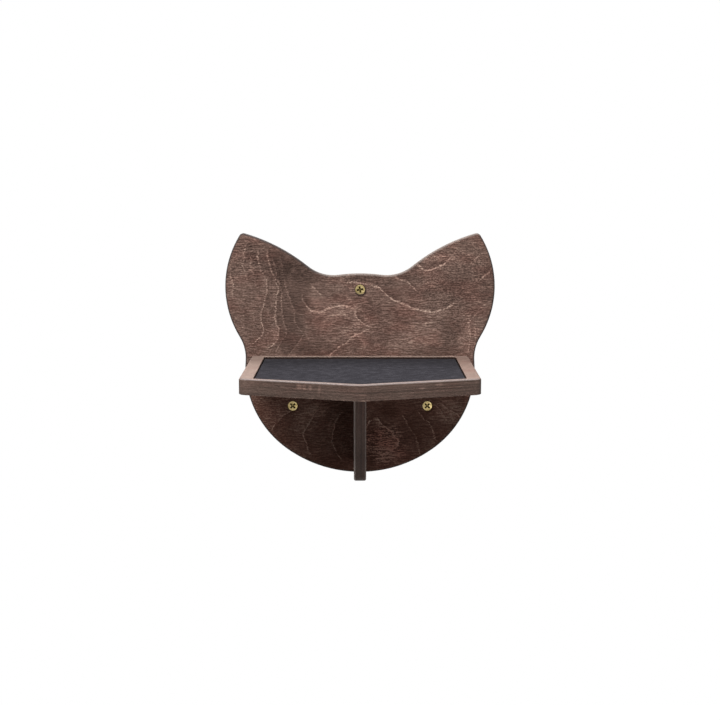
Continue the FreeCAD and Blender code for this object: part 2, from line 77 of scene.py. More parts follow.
def rise(tree, value, low, high, to_low=0.0, to_high=1.0, smooth=True):
    """Goes from to_low to to_high, softly, as the value goes from low to high."""
    inputs = {0: value, 1: low, 2: high, 3: to_low, 4: to_high}
    kind = "SMOOTHSTEP" if smooth else "LINEAR"
    return add_node(tree, "ShaderNodeMapRange", inputs, interpolation_type=kind).outputs[0]


def stretch(tree, x, y, z, scales):
    """A place to sample a grain at, with each direction drawn out or pressed together."""
    parts = [calc(tree, "MULTIPLY", part, scale) for part, scale in zip((x, y, z), scales)]
    return add_node(tree, "ShaderNodeCombineXYZ", dict(enumerate(parts))).outputs[0]


def speckle(tree, place, scale=1.0, detail=2.0, roughness=0.5):
    inputs = {"Vector": place, "Scale": scale, "Detail": detail, "Roughness": roughness}
    return add_node(tree, "ShaderNodeTexNoise", inputs).outputs[0]


def blend(tree, share, first, second, kind="MIX"):
    inputs = {0: share, 6: first, 7: second}
    return add_node(tree, "ShaderNodeMix", inputs, data_type="RGBA", blend_type=kind).outputs[2]


def shade(tree, value, stops):
    """A run of colours along a value from 0 to 1."""
    node = add_node(tree, "ShaderNodeValToRGB", {0: value})
    run = node.color_ramp.elements
    for spare in list(run)[1:]:
        run.remove(spare)
    run[0].position, run[0].color = stops[0]
    for place, colour in stops[1:]:
        run.new(place).color = colour
    return node.outputs[0]


def new_surface(name):
    material = bpy.data.materials.new(name)
    material.use_nodes = True
    material.node_tree.nodes.clear()
    return material, material.node_tree


def finish_surface(tree, colour, roughness, bump, bump_depth, **constants):
    """Ends a material: colour and roughness that vary, a bump in metres, and constants on the shader itself."""
    relief = add_node(
        tree, "ShaderNodeBump", {"Strength": 1.0, "Distance": bump_depth, "Height": bump}
    ).outputs[0]
    inputs = {"Base Color": colour, "Roughness": roughness, "Normal": relief, **constants}
    shader = add_node(tree, "ShaderNodeBsdfPrincipled", inputs)
    add_node(tree, "ShaderNodeOutputMaterial", {"Surface": shader.outputs[0]})


def growth_line(tree, along, across, path, width, flank=8.0):
    """A pale line through (along, across) points in mm that fades at both ends, and the darker wood beside it."""
    path = sorted(path)
    low = min(side for step, side in path)
    high = max(side for step, side in path)
    start, end = path[0][0], path[-1][0]
    share = rise(tree, along, start * MM, end * MM, smooth=False)
    curve_node = add_node(tree, "ShaderNodeFloatCurve", {"Value": share})
    curve = curve_node.mapping.curves[0]
    places = [((step - start) / (end - start), (side - low) / (high - low)) for step, side in path]
    curve.points[0].location = places[0]
    curve.points[-1].location = places[-1]
    for place in places[1:-1]:
        curve.points.new(*place)
    curve_node.mapping.update()
    middle = rise(tree, curve_node.outputs[0], 0.0, 1.0, low * MM, high * MM, smooth=False)
    apart = calc(tree, "SUBTRACT", across, middle)
    ends = rise(tree, calc(tree, "MULTIPLY", share, calc(tree, "SUBTRACT", 1.0, share)), 0.0, 0.08)
    core = calc(tree, "MULTIPLY", rise(tree, calc(tree, "ABSOLUTE", apart), width * MM, 0.0), ends)
    near = rise(tree, apart, 0.0, width * MM)
    beside = calc(tree, "MULTIPLY", near, rise(tree, apart, flank * MM, width * MM))
    return core, calc(tree, "MULTIPLY", beside, ends)


def patch(tree, x, y, middle, reach):
    """A soft round patch on a face: its middle and how far it reaches each way, in mm."""
    sideways = calc(tree, "MULTIPLY_ADD", x, 1 / (reach[0] * MM), -middle[0] / reach[0])
    upward = calc(tree, "MULTIPLY_ADD", y, 1 / (reach[1] * MM), -middle[1] / reach[1])
    away = calc(tree, "ADD", calc(tree, "POWER", sideways, 2.0), calc(tree, "POWER", upward, 2.0))
    return rise(tree, away, 1.0, 0.0)


def total(tree, parts):
    """Adds up pairs of a mark and its strength."""
    summed = 0.0
    for mark, strength in parts:
        summed = calc(tree, "MULTIPLY_ADD", mark, strength, summed)
    return summed


def patches(tree, x, y, entries):
    """Adds up soft patches, each given as its middle, its reach each way, and its strength."""
    parts = []
    for side, height, wide, tall, strength in entries:
        parts.append((patch(tree, x, y, (side, height), (wide, tall)), strength))
    return total(tree, parts)


def box_middle(node):
    low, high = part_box(node)
    return (low + high) / 2


class Plywood:
    """Stained birch plywood. Along is the way of the face grain, across lies in the face, deep goes in from it.

    Face is where the front veneer lies on the deep axis, and inward, 1 or -1, is the way in from it.
    """

    # how thick a face veneer is beside a layer inside
    FACE_PLY = 0.6
    # the stain from its darkest tone to its palest
    STAIN = [
        (0.0, tint(50, 38, 33)),
        (0.25, tint(85, 68, 61)),
        (0.5, tint(113, 91, 82)),
        (0.75, tint(150, 124, 112)),
        (1.0, tint(201, 174, 158)),
    ]
    RED_STAIN, GLUE_LINE = tint(158, 104, 98), tint(58, 44, 38)
    PORE_DEPTH = 0.12 * MM

    def __init__(self, name, along, across, deep, face, inward, thickness, plies):
        self.material, self.tree = new_surface(name)
        tree = self.tree
        place = add_node(tree, "ShaderNodeTexCoord").outputs["Object"]
        axes = add_node(tree, "ShaderNodeSeparateXYZ", {0: place}).outputs
        self.along, self.across = axes[along], axes[across]
        self.deep = calc(tree, "MULTIPLY_ADD", axes[deep], inward, -face * inward)
        ply = thickness / (plies - 2 * (1 - self.FACE_PLY))
        layer = calc(tree, "MULTIPLY_ADD", self.deep, 1 / ply, 1 - self.FACE_PLY)
        self.layer = calc(tree, "FLOOR", layer)
        within = calc(tree, "FRACT", layer)
        seam = calc(tree, "MINIMUM", within, calc(tree, "SUBTRACT", 1.0, within))
        from_back = calc(tree, "SUBTRACT", thickness, self.deep)
        self.edge = calc(
            tree,
            "MULTIPLY",
            rise(tree, self.deep, 0.4 * ply, 0.65 * ply),
            rise(tree, from_back, 0.4 * ply, 0.65 * ply),
        )
        self.glue = calc(tree, "MULTIPLY", rise(tree, seam, 0.16, 0.04), self.edge)
        self.crossband = calc(tree, "MULTIPLY", calc(tree, "MODULO", self.layer, 2.0), self.edge)
        self.front_veneer = rise(tree, self.deep, 0.75 * ply, 0.5 * ply)
        self.rounding = calc(
            tree,
            "MULTIPLY",
            rise(tree, self.deep, 0.05 * MM, 0.5 * MM),
            rise(tree, from_back, 0.05 * MM, 0.5 * MM),
        )

    def grain(self):
        """Pores along the grain, short and fine, longer and broader, and round flecks, each from -1 to 1."""
        tree = self.tree
        turn = self.crossband
        along = add_node(tree, "ShaderNodeMix", {0: turn, 2: self.along, 3: self.across}).outputs[0]
        across = add_node(tree, "ShaderNodeMix", {0: turn, 2: self.across, 3: self.along}).outputs[0]
        found = []
        for scales, edge in (((140, 640, 640), 0.06), ((60, 900, 900), 0.08), ((480, 700, 700), 0.08)):
            pores = speckle(tree, stretch(tree, along, across, self.deep, scales), detail=1, roughness=0.6)
            found.append(rise(tree, pores, 0.5 - edge, 0.5 + edge, -1.0, 1.0))
        return found

    def edge_lines(self):
        """Thin lines along the layers where they show on an edge, from -1 to 1."""
        tree = self.tree
        place = stretch(tree, self.along, self.across, self.deep, (12, 12, 680))
        lines = speckle(tree, place, detail=1, roughness=0.6)
        return calc(tree, "MULTIPLY", rise(tree, lines, 0.36, 0.64, -1.0, 1.0), self.edge)

    def clouds(self):
        """Slow changes in how much stain the wood took, and in how red it is."""
        tree = self.tree
        wide = speckle(tree, stretch(tree, self.along, self.across, self.deep, (16, 24, 24)), detail=3)
        red = speckle(tree, stretch(tree, self.along, self.across, self.deep, (30, 55, 55)), detail=3)
        return rise(tree, wide, 0.3, 0.7, -1.0, 1.0, smooth=False), rise(tree, red, 0.40, 0.66)

    def figure(self, broken):
        """Growth lines as a rotary cut shows them: the levels of a slow swell, each line dotted by the pores."""
        tree = self.tree
        place = stretch(tree, self.along, self.across, self.deep, (6, 11, 30))
        swell = speckle(tree, place, detail=2, roughness=0.35)
        ring = calc(tree, "FRACT", calc(tree, "MULTIPLY_ADD", broken, 0.05, calc(tree, "MULTIPLY", swell, 15.0)))
        pale = calc(tree, "MULTIPLY", rise(tree, ring, 0.0, 0.06), rise(tree, ring, 0.22, 0.06))
        dark = calc(tree, "MULTIPLY", rise(tree, ring, 0.1, 0.3), rise(tree, ring, 0.9, 0.3))
        return total(tree, [(pale, 1.0), (dark, -0.4)])

    def finish(self, tone, redness, relief, specular, painted_light, painted_light_share):
        """Turns the tone, 0 dark to 1 pale, into stained wood, and lays a colour of painted light over it: the
        painted shade, sheen and highlights of each board.
        """
        tree = self.tree
        brown = shade(tree, tone, self.STAIN)
        warm = blend(tree, calc(tree, "MULTIPLY", redness, 0.25), brown, self.RED_STAIN, "OVERLAY")
        glued = blend(tree, calc(tree, "MULTIPLY", self.glue, 0.45), warm, self.GLUE_LINE)
        with_painted_light = blend(tree, painted_light_share, glued, painted_light)
        roughness = rise(tree, tone, 0.1, 0.9, 0.5, 0.66, smooth=False)
        finish_surface(tree, with_painted_light, roughness, relief, self.PORE_DEPTH, **{"Specular IOR Level": specular})
        return self.material


board_low, board_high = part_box("backboard")
BOARD_THICKNESS, BOARD_PLIES = board_high.y - board_low.y, 9
board_wood = Plywood("stained_backboard", "X", "Z", "Y", board_low.y, 1, BOARD_THICKNESS, BOARD_PLIES)
wood = board_wood.tree
right, up = board_wood.along, board_wood.across
# growth lines sway slowly, and shift a little more from one row of pores to the next
wobble = speckle(wood, stretch(wood, right, up, board_wood.deep, (90, 90, 90)), detail=2)
sway = rise(wood, wobble, 0.3, 0.7, -MM, MM, smooth=False)
rows = speckle(wood, stretch(wood, right, up, board_wood.deep, (50, 620, 50)), detail=1)
row_shift = rise(wood, rows, 0.3, 0.7, -0.45 * MM, 0.45 * MM, smooth=False)
right_wavy = total(wood, [(right, 1.0), (sway, 1.0), (row_shift, 1.0)])
runs = speckle(wood, stretch(wood, right, up, board_wood.deep, (130, 260, 130)), detail=1)
run_shift = rise(wood, runs, 0.3, 0.7, -0.5 * MM, 0.5 * MM, smooth=False)
up_wavy = total(wood, [(up, 1.0), (sway, 0.6), (run_shift, 1.0)])

# pale growth lines that stand upright: strength, then (height, side) points in mm
UPRIGHT_LINES = [
    (0.17, [(107, -132), (99, -133), (91, -131), (84, -130), (78, -131), (72, -132)]),
    (0.15, [(131, -114.5), (124, -116.5), (119, -118.5), (112, -119.5),
            (105, -120.5), (97, -117.5), (86, -116.5)]),
    (0.10, [(72, -119), (62, -120.5), (52, -120), (44, -120), (38, -122)]),
    (0.11, [(118, -111), (106, -112), (94, -109), (84, -107)]),
    (0.23, [(125, -104), (111, -104.5), (103, -103), (96, -99), (83, -95.3), (77, -95.8), (64, -99.4),
            (52.5, -102.5), (39, -100), (35, -100.4), (31.7, -103), (28.6, -107), (19, -116)]),
    (0.25, [(125, -95.3), (111, -93.8), (98, -89.6), (86.5, -85.5), (81, -84), (73, -86), (61, -87),
            (55.5, -88), (46, -86.6), (36, -84), (31.7, -84.5), (27.5, -86.6), (19, -95.8), (14, -101)]),
    (0.17, [(121, -91.7), (105, -88), (91, -84.5), (80, -81), (65, -81), (49, -79.4),
            (43, -77.8), (38, -76.3), (32.7, -77.3), (28.6, -80.4), (18, -86.6), (13, -90)]),
    (0.12, [(118, -82), (111, -81.5), (105, -80.5), (98, -79)]),
    (0.14, [(94, -78.3), (85.5, -76.3), (78, -74.2), (72, -72.2), (67, -71.7),
            (57.6, -68), (49, -67), (44, -65), (39, -62), (35, -59)]),
    (0.20, [(76, -59.5), (72, -58.5), (67, -57), (63.5, -54.5), (61, -52)]),
    (0.27, [(62, -7), (59.7, -5.3), (55.6, -4.8), (51.4, -2.8), (48.3, 0), (46, 3), (43.5, 7), (42, 11)]),
    (0.15, [(54, 113), (44, 112), (34, 114), (24, 113), (14, 115)]),
    (0.12, [(46, 118), (36, 119), (26, 118), (16, 119)]),
    (0.50, [(-46, -18), (-52, -22.4), (-58, -25.6), (-66, -28),
            (-74, -28.8), (-82, -28), (-91, -24), (-100, -17)]),
    (0.54, [(-43, -41), (-48, -47), (-56, -52), (-62, -55.5), (-66, -57.4),
            (-70, -58.2), (-74, -57.8), (-81, -56), (-94, -50)]),
    (0.46, [(-44, -71), (-47.5, -75), (-52, -81.5), (-57, -85.6), (-61, -89), (-67, -91.5)]),
    (0.44, [(-54, 10), (-57, 9), (-61, 7.6), (-67, 5.6)]),
    (0.46, [(-44, 58), (-47.5, 62), (-55, 67), (-59, 72), (-67, 76), (-78, 79.5)]),
    (0.40, [(-48, 38), (-55, 47.5), (-63, 51), (-71, 56.5), (-79, 59.7), (-87, 61.4), (-95, 62.4)]),
    (0.90, [(-54, 17.5), (-57.5, 20.8), (-63.3, 27.4), (-69, 34.2), (-73.4, 37.5),
            (-78.5, 40.5), (-82, 39.5), (-85, 36), (-89, 29)]),
    (0.80, [(-37, 83), (-39, 86), (-42, 89.5), (-46, 96), (-51, 103), (-55, 107)]),
    (0.45, [(-38, 76), (-41.5, 80.2), (-46, 84), (-51, 87), (-57, 91)]),
]
# pale growth lines that run across: strength, then (side, height) points in mm
LEVEL_LINES = [
    (0.29, [(-56, 65), (-51.6, 60.2), (-48.5, 58.2), (-43, 57.6), (-38, 59.2),
            (-34, 61.3), (-30, 62.3), (-18, 64.3), (-12.5, 63.4), (-6, 61)]),
    (0.20, [(-51, 86), (-46.5, 81.4), (-42.4, 77.3), (-38, 74)]),
    (0.22, [(-36, 10), (-31, 13), (-27, 17.2), (-22, 21.3), (-16.7, 24.4),
            (-12.5, 27.5), (-9.5, 30.7), (-4.3, 33.8), (3, 37), (11, 40.5)]),
    (0.16, [(-74, 12), (-68, 20.3), (-64, 25.5), (-61, 29.6), (-57, 36)]),
    (0.21, [(-16, 84), (-7, 88.6), (-2, 88), (5, 87.5), (11, 86), (17.3, 83.4), (22.4, 80.4)]),
    (0.33, [(13, 85), (17.3, 83.4), (22.4, 80.4), (26.5, 76.2), (35, 70), (47, 65),
            (59.4, 60.8), (73.8, 58.2), (80, 58.7), (85, 60.2), (93, 64.4), (101, 69.5)]),
    (0.26, [(35, 95), (42, 91), (47, 89.6), (50.2, 87.5), (53, 85), (59, 79)]),
    (0.34, [(57, 107), (60.4, 106), (63.5, 103), (67.6, 101), (73, 102), (79, 104), (88, 108)]),
    (0.15, [(79, 104), (85, 107), (90, 111), (94.4, 116), (98.5, 121.4), (102, 128)]),
    (0.16, [(66, 113), (75, 114), (83, 115), (95, 117)]),
    (0.18, [(112, 46), (117, 52.5), (120, 56.6), (123, 60.8), (127, 64), (132, 68), (136, 71.5)]),
    (0.16, [(113, 107), (119, 113), (123, 117), (128, 121)]),
    (0.26, [(122, 90), (128, 94.7), (134, 100)]),
    (0.16, [(58, 45.5), (70, 46.5), (85, 47.5)]),
    (0.60, [(8, -59), (10, -57.5), (12.4, -55.2), (15, -54.2), (17.4, -54.2), (20, -56.5), (22, -58.5)]),
]
UPRIGHT_WIDTH, LEVEL_WIDTH = 1.4, 1.9
upright = [(strength, growth_line(wood, up, right_wavy, path, UPRIGHT_WIDTH)) for strength, path in UPRIGHT_LINES]
level = [(strength, growth_line(wood, right, up_wavy, path, LEVEL_WIDTH)) for strength, path in LEVEL_LINES]
upright_pale = total(wood, [(core, strength) for strength, (core, beside) in upright])
level_pale = total(wood, [(core, strength) for strength, (core, beside) in level])
flanks = total(wood, [(beside, strength) for strength, (core, beside) in upright + level])
# a broad band down the left ear where the stain went in deeper, as (height, side) points in mm
DARK_BAND = [
    (130, -94), (118, -85), (109, -79), (100, -73), (91, -68), (80, -67), (61, -69), (45, -71), (20, -70), (8, -58)
]
DARK_BAND_WIDTH = 20
dark_band = growth_line(wood, up, right_wavy, DARK_BAND, DARK_BAND_WIDTH)[0]
# softer clouds, pale or dark: side and height of the middle, reach each way in mm, strength
CLOUDS = [
    (-57, 98, 24, 14, -0.20),
    (-83, 102, 15, 20, -0.18),
    (-100, 104, 13, 13, -0.14),
    (-107, 116, 11, 14, -0.12),
    (-116, 128, 12, 9, -0.08),
    (-64, 109, 15, 10, -0.18),
    (66, 103, 12, 8, 0.10),
    (129, 94, 9, 6, 0.10),
    (-124, 87, 18, 10, 0.10),
    (133, 84, 11, 26, -0.08),
    (-86, 37, 9, 11, 0.12),
    (-94, 22, 16, 12, 0.06),
    (-50, 18, 20, 12, -0.14),
    (-44, 72, 14, 24, 0.07),
    (-24, 61, 38, 15, 0.18),
    (-34, 44, 20, 9, 0.12),
    (-20, 32, 20, 13, 0.11),
    (5, 47, 12, 9, 0.14),
    (0, 38, 26, 14, 0.11),
    (11, 61, 15, 13, -0.06),
    (30, 87, 9, 8, -0.13),
    (0, 98, 50, 9, -0.17),
    (-8, 88, 30, 14, 0.05),
    (44, 68, 12, 10, 0.09),
    (66, 58, 36, 14, 0.12),
    (60, 34, 37, 16, 0.14),
    (40, 21, 60, 9, 0.09),
    (80, 16, 30, 10, -0.08),
    (72, 76, 10, 10, -0.07),
    (96, 43, 20, 24, -0.08),
    (50, 98, 24, 16, -0.05),
    (68, 86, 22, 7, 0.07),
    (106, 84, 34, 24, -0.09),
    (88, 113, 22, 10, 0.09),
    (114, 33, 17, 24, 0.16),
    (-45, -44, 14, 12, 0.36),
    (-57, -58, 16, 20, 0.25),
    (-28, -60, 10, 16, 0.20),
    (-86, -46, 12, 14, 0.12),
    (-82, -70, 18, 16, -0.20),
    # painted shade: a dark cloud low on the board about the bracket's foot, most of it to the left
    (-22, -103, 46, 17, -0.30),
    (12, -84, 10, 24, -0.36),
    (31, -86, 21, 17, 0.28),
    (31, -45, 13, 12, -0.30),
    (58, -64, 22, 22, -0.18),
    (93, -45, 18, 18, 0.38),
]
clouded = calc(wood, "MULTIPLY_ADD", dark_band, -0.12, patches(wood, right, up, CLOUDS))
# wavy pale streaks low on the right
RIPPLE_STEP = 2.5 * MM
swayed_up = total(wood, [(up, 1.0), (sway, 2.4)])
ripple = calc(wood, "SINE", calc(wood, "MULTIPLY", swayed_up, 2 * math.pi / RIPPLE_STEP))
rippled = calc(wood, "MULTIPLY", rise(wood, ripple, 0.1, 1.0), patch(wood, right, up, (24, -80), (26, 24)))
# the countersunk edge round each wall screw drank more stain, with painted shadow below and to the right of each
# head
RING_REACH, RING_RIGHT, RING_DOWN = 7.0, 0.9, 1.4
screw_rings = []
for node in ("wall_screw_top", "wall_screw_left", "wall_screw_right"):
    head = box_middle(node) / MM
    screw_rings.append((head.x + RING_RIGHT, head.z - RING_DOWN, RING_REACH, RING_REACH, 1.0))
ring_stain_and_shadow = patches(wood, right, up, screw_rings)
# the pores show more in the middle, on the left ear's tip, and below the shelf, most of all by the ripples
streaky = total(
    wood,
    [
        (patch(wood, right, up, (30, 36), (90, 58)), 0.25),
        (patch(wood, right, up, (23, -80), (29, 28)), 1.2),
        (patch(wood, right, up, (-112, 112), (30, 26)), 0.25),
        (rise(wood, up, 0.0, -30 * MM), 0.6),
        (dark_band, -0.25),
    ],
)
pores, streaks, flecks = board_wood.grain()
cloud_wide, cloud_red = board_wood.clouds()
pore_gain = calc(wood, "MULTIPLY_ADD", streaky, board_wood.front_veneer, 0.75)
# the ears and the crown are more flecked than the middle
fleck_gain = total(
    wood,
    [
        (rise(wood, right, -55 * MM, -80 * MM), 0.045),
        (patch(wood, right, up, (98, 92), (58, 50)), 0.10),
        (patch(wood, right, up, (-5, 92), (45, 18)), 0.07),
        (patch(wood, right, up, (112, 36), (26, 36)), 0.05),
        (1.0, 0.085),
    ],
)
long_streaks = calc(wood, "MULTIPLY", patch(wood, right, up, (25, -81), (29, 28)), board_wood.front_veneer)
streak_gain = calc(wood, "MULTIPLY_ADD", long_streaks, 0.12, 0.05)
grain_tone = total(wood, [(pores, 0.10), (streaks, streak_gain), (flecks, fleck_gain)])
pore_tone = calc(wood, "MULTIPLY", grain_tone, pore_gain)
# pores break the pale lines, the upright ones more
dotted = rise(wood, flecks, -0.7, 0.7, 0.55, 1.4)
joined = rise(wood, flecks, -0.8, 0.8, 0.6, 1.3)
pale_lines = total(wood, [(upright_pale, dotted), (level_pale, joined)])
pale_lines = calc(wood, "MULTIPLY_ADD", calc(wood, "MULTIPLY", rippled, dotted), 0.66, pale_lines)
face_marks = total(
    wood, [(clouded, 1.0), (pale_lines, 1.0), (flanks, -0.40), (rise(wood, ring_stain_and_shadow, 0.0, 0.5), -0.40)]
)
face_tone = calc(wood, "MULTIPLY", face_marks, board_wood.front_veneer)
# the rounded edges and the plies on them are darker, partly end grain that took more stain and partly painted
# shade: most on the edges that face sideways or down and on the left ear's slope, less on the crown and the right
# ear's slope, which face up into the light, and on a little of the right waist
normal = add_node(wood, "ShaderNodeNewGeometry").outputs["Normal"]
facing_up = add_node(wood, "ShaderNodeSeparateXYZ", {0: normal}).outputs["Z"]
tilted = rise(wood, facing_up, 0.15, 0.6)
upward = calc(wood, "MULTIPLY", tilted, rise(wood, right, -60 * MM, -25 * MM))
left_slope = calc(wood, "SUBTRACT", tilted, upward)
right_waist = patch(wood, right, up, (122, 32), (18, 32))
edge_stain_and_shade = total(wood, [(upward, -0.75), (left_slope, 0.4), (right_waist, -0.6), (1.0, 1.0)])
board_figure = board_wood.figure(pores)
figure_share = rise(wood, board_wood.front_veneer, 0.0, 1.0, 0.22, 0.09)
board_tone = total(
    wood,
    [
        (pore_tone, 1.0),
        (cloud_wide, 0.045),
        (calc(wood, "MULTIPLY", board_figure, figure_share), 1.0),
        (calc(wood, "MULTIPLY", board_wood.rounding, edge_stain_and_shade), -0.26),
        (calc(wood, "MULTIPLY", board_wood.edge, edge_stain_and_shade), -0.10),
        (board_wood.crossband, -0.08),
        (face_tone, 1.0),
    ],
)
board_tone = calc(wood, "ADD", board_tone, 0.50)
# redder and greyer places, given as the clouds are
RED_CLOUDS = [(0, 42, 85, 44, 0.45), (30, -84, 40, 34, 1.4), (-70, 78, 30, 62, -0.6)]
face_red = patches(wood, right, up, RED_CLOUDS)
board_red = calc(wood, "MULTIPLY_ADD", face_red, board_wood.front_veneer, cloud_red)
# below the shelf the face is painted a redder brown as painted shade, but not on the back, and less over the pale
# streaks and lines
RED_SHADE = tint(120, 78, 63)
off_back = rise(wood, board_wood.deep, BOARD_THICKNESS - 0.5 * MM, BOARD_THICKNESS - 1.5 * MM)
streaked = patch(wood, right, up, (29, -82), (34, 30))
red_shade_strength = total(wood, [(streaked, -0.18), (1.0, 0.42)])
red_shade_strength = calc(wood, "MULTIPLY", red_shade_strength, rise(wood, pale_lines, 0.4, 0.9, 1.0, 0.2))
painted_light_share = calc(wood, "MULTIPLY", rise(wood, up, 0.0, -30 * MM, 0.0, red_shade_strength), off_back)
# the rounded edges get a painted greyish sheen, with a paler painted highlight where they face up
SIDE_SHEEN, TOP_HIGHLIGHT = tint(101, 97, 96), tint(158, 147, 140)
highlit_edges = calc(wood, "MULTIPLY", rise(wood, facing_up, 0.3, 0.8), upward)
board_edge_sheen = blend(wood, highlit_edges, SIDE_SHEEN, TOP_HIGHLIGHT)
painted_light = blend(wood, board_wood.rounding, RED_SHADE, board_edge_sheen)
sheen_share = calc(wood, "MULTIPLY_ADD", left_slope, -0.24, 0.44)
painted_light_share = rise(wood, board_wood.rounding, 0.0, 1.0, painted_light_share, sheen_share)
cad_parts["backboard"].data.materials[0] = board_wood.finish(
    board_tone, board_red, pores, specular=0.03, painted_light=painted_light, painted_light_share=painted_light_share
)


# Shelf
# A thicker plywood board with a shallow recess milled into its top for the felt; its layers show along the edges.
# It is glued and screwed to the backboard from behind; its rim is paler than the faces, and a painted greyish sheen
# lies over its rim and edges.

shelf_low, shelf_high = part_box("shelf")
SHELF_THICKNESS, SHELF_PLIES = shelf_high.z - shelf_low.z, 11
shelf_wood = Plywood("stained_shelf", "X", "Y", "Z", shelf_high.z, -1, SHELF_THICKNESS, SHELF_PLIES)
wood = shelf_wood.tree
pores, streaks, flecks = shelf_wood.grain()
cloud_wide, cloud_red = shelf_wood.clouds()


def uneven_layers(board):
    """Each layer takes the stain a little differently, and not evenly along its length."""
    tree = board.tree
    chance = add_node(tree, "ShaderNodeTexWhiteNoise", {"W": board.layer}, noise_dimensions="1D").outputs[0]
    run = speckle(tree, stretch(tree, board.along, board.across, board.layer, (22, 22, 7.3)), detail=2)
    shift = total(tree, [(chance, 0.6), (run, 2.0), (1.0, -1.3)])
    return calc(tree, "MULTIPLY", shift, board.edge)


# pale blemishes on the front edge: side, height, reach each way in mm, strength; heights count up from 12 mm below
# the top face
edge_height = calc(wood, "SUBTRACT", 12 * MM, shelf_wood.deep)
BLEMISHES = [
    (-55, 7.8, 3.4, 3.6, 0.40),
    (-50.5, 7.4, 2.4, 3.6, 0.32),
    (-45, 7.2, 2.4, 3.4, 0.34),
    (-36.5, 6.8, 1.8, 4.4, 0.26),
    (-37, 3, 2.0, 2.6, 0.14),
    (-84, 7.4, 9, 0.8, 0.26),
    (-70, 7.0, 5, 0.8, 0.20),
    (-92, 3.6, 10, 0.9, 0.16),
    (1, 8.4, 8, 0.7, 0.20),
    (2, 2.6, 7, 0.8, 0.34),
    (4, -2.6, 6, 0.9, 0.40),
    (-12, -2.2, 8, 0.7, 0.18),
    (56, 6.4, 4, 1.3, 0.34),
    (72, 8.6, 5, 1.6, 0.26),
    (40, 1.0, 12, 0.8, 0.14),
]
blemishes = patches(wood, shelf_wood.along, edge_height, BLEMISHES)
# the recess, in mm, taken a little larger than the felt in it; both front edges fall back from the point by 39 mm
felt_low, felt_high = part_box("felt_pad")
BESIDE_FELT, BEFORE_FELT, RECESS_SOFT, FRONT_FALL = 1.8, 3.0, 0.5, 39.0
RECESS_HALF, RECESS_BACK = felt_high.x / MM + BESIDE_FELT, felt_high.y / MM + BESIDE_FELT
RECESS_NOSE = felt_low.y / MM - BEFORE_FELT
SIDE_SLOPE = FRONT_FALL * MM / shelf_high.x
sideways = calc(wood, "ABSOLUTE", shelf_wood.along)
from_nose = calc(wood, "MULTIPLY_ADD", sideways, -SIDE_SLOPE, shelf_wood.across)
# the recess walls are darker, partly end grain that took more stain and partly painted shade
recess_stain_and_shade = rise(wood, sideways, RECESS_HALF * MM, (RECESS_HALF - RECESS_SOFT) * MM)
for within in (
    rise(wood, shelf_wood.across, RECESS_BACK * MM, (RECESS_BACK - RECESS_SOFT) * MM),
    rise(wood, from_nose, RECESS_NOSE * MM, (RECESS_NOSE + RECESS_SOFT) * MM),
    rise(wood, shelf_wood.deep, 0.3 * MM, 0.8 * MM),
    rise(wood, shelf_wood.deep, 7.0 * MM, 6.0 * MM),
):
    recess_stain_and_shade = calc(wood, "MULTIPLY", recess_stain_and_shade, within)
at_front = rise(wood, from_nose, RECESS_NOSE * MM, (RECESS_NOSE - 2.0) * MM)
face_share = rise(wood, shelf_wood.edge, 0.0, 1.0, 1.0, 0.35)
# the ends of the front edge, where it turns round the corners, are painted paler and greyer as a painted highlight,
# the left one further in
left_corner_highlight = rise(wood, shelf_wood.along, -92 * MM, -109 * MM)
end_highlights = rise(wood, sideways, 103 * MM, 110 * MM)
corner_highlight = calc(wood, "MULTIPLY", total(wood, [(left_corner_highlight, 0.09), (end_highlights, 0.10)]), shelf_wood.edge)
# a painted greyish sheen, palest on the rim and greyest along its front
EDGE_SHEEN, RIM_SHEEN, FRONT_SHEEN = tint(108, 95, 87), tint(169, 152, 142), tint(147, 138, 136)
shelf_sheen = blend(wood, shelf_wood.front_veneer, EDGE_SHEEN, RIM_SHEEN)
shelf_sheen = blend(wood, calc(wood, "MULTIPLY", at_front, shelf_wood.front_veneer), shelf_sheen, FRONT_SHEEN)
# less painted sheen on the right lip, where less light falls
right_lip_less_sheen = patch(wood, shelf_wood.along, shelf_wood.across, (106, -80), (18, 110))
rim_share = total(wood, [(right_lip_less_sheen, -0.22), (at_front, 0.23), (1.0, 0.42)])
edge_share = calc(wood, "MULTIPLY_ADD", corner_highlight, 1.2, 0.25)
sheen_share = rise(wood, shelf_wood.front_veneer, 0.0, 1.0, edge_share, rim_share)
sheen_share = calc(wood, "MULTIPLY", sheen_share, calc(wood, "SUBTRACT", 1.0, recess_stain_and_shade))
shelf_tone = total(
    wood,
    [
        (calc(wood, "MULTIPLY", pores, face_share), 0.07),
        (calc(wood, "MULTIPLY", streaks, face_share), 0.06),
        (calc(wood, "MULTIPLY", flecks, face_share), 0.04),
        (cloud_wide, 0.05),
        (shelf_wood.edge_lines(), 0.125),
        (uneven_layers(shelf_wood), 0.14),
        (shelf_wood.crossband, -0.08),
        (shelf_wood.edge, -0.08),
        # the top veneer is paler, and paler still towards the back as painted light where less light reaches
        (shelf_wood.front_veneer, rise(wood, shelf_wood.across, -60 * MM, -150 * MM, 0.16, 0.09)),
        (calc(wood, "MULTIPLY", blemishes, at_front), 1.0),
        (corner_highlight, 1.0),
        (recess_stain_and_shade, -0.50),
    ],
)
shelf_tone = calc(wood, "ADD", shelf_tone, 0.458)
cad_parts["shelf"].data.materials[0] = shelf_wood.finish(
    shelf_tone, cloud_red, pores, specular=0.07, painted_light=shelf_sheen, painted_light_share=sheen_share
)
